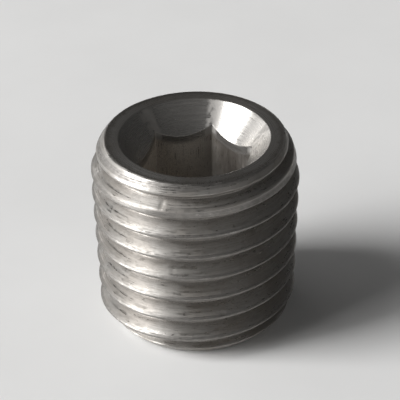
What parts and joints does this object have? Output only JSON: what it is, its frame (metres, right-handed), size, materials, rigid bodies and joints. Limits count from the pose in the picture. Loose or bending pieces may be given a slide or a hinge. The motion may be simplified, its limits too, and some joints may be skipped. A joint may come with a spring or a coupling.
{
  "type": "threaded plug",
  "caption": "Headless taper-threaded plug of plain steel with a countersunk hexagon socket, for closing a threaded port.",
  "frame": {"origin": "middle of the flat bottom face, at the small end", "axes": "+Z along the plug's own axis, from the small end up to the socket; -Y is the side where the thread's first root lies 0.57 mm below the top face"},
  "size_m": [0.0084, 0.0084, 0.0082],
  "materials": {
    "steel": "machined steel, dull warm grey with fine turning marks"
  },
  "bodies": {
    "root": {"plug": "steel"}
  },
  "joints": []
}
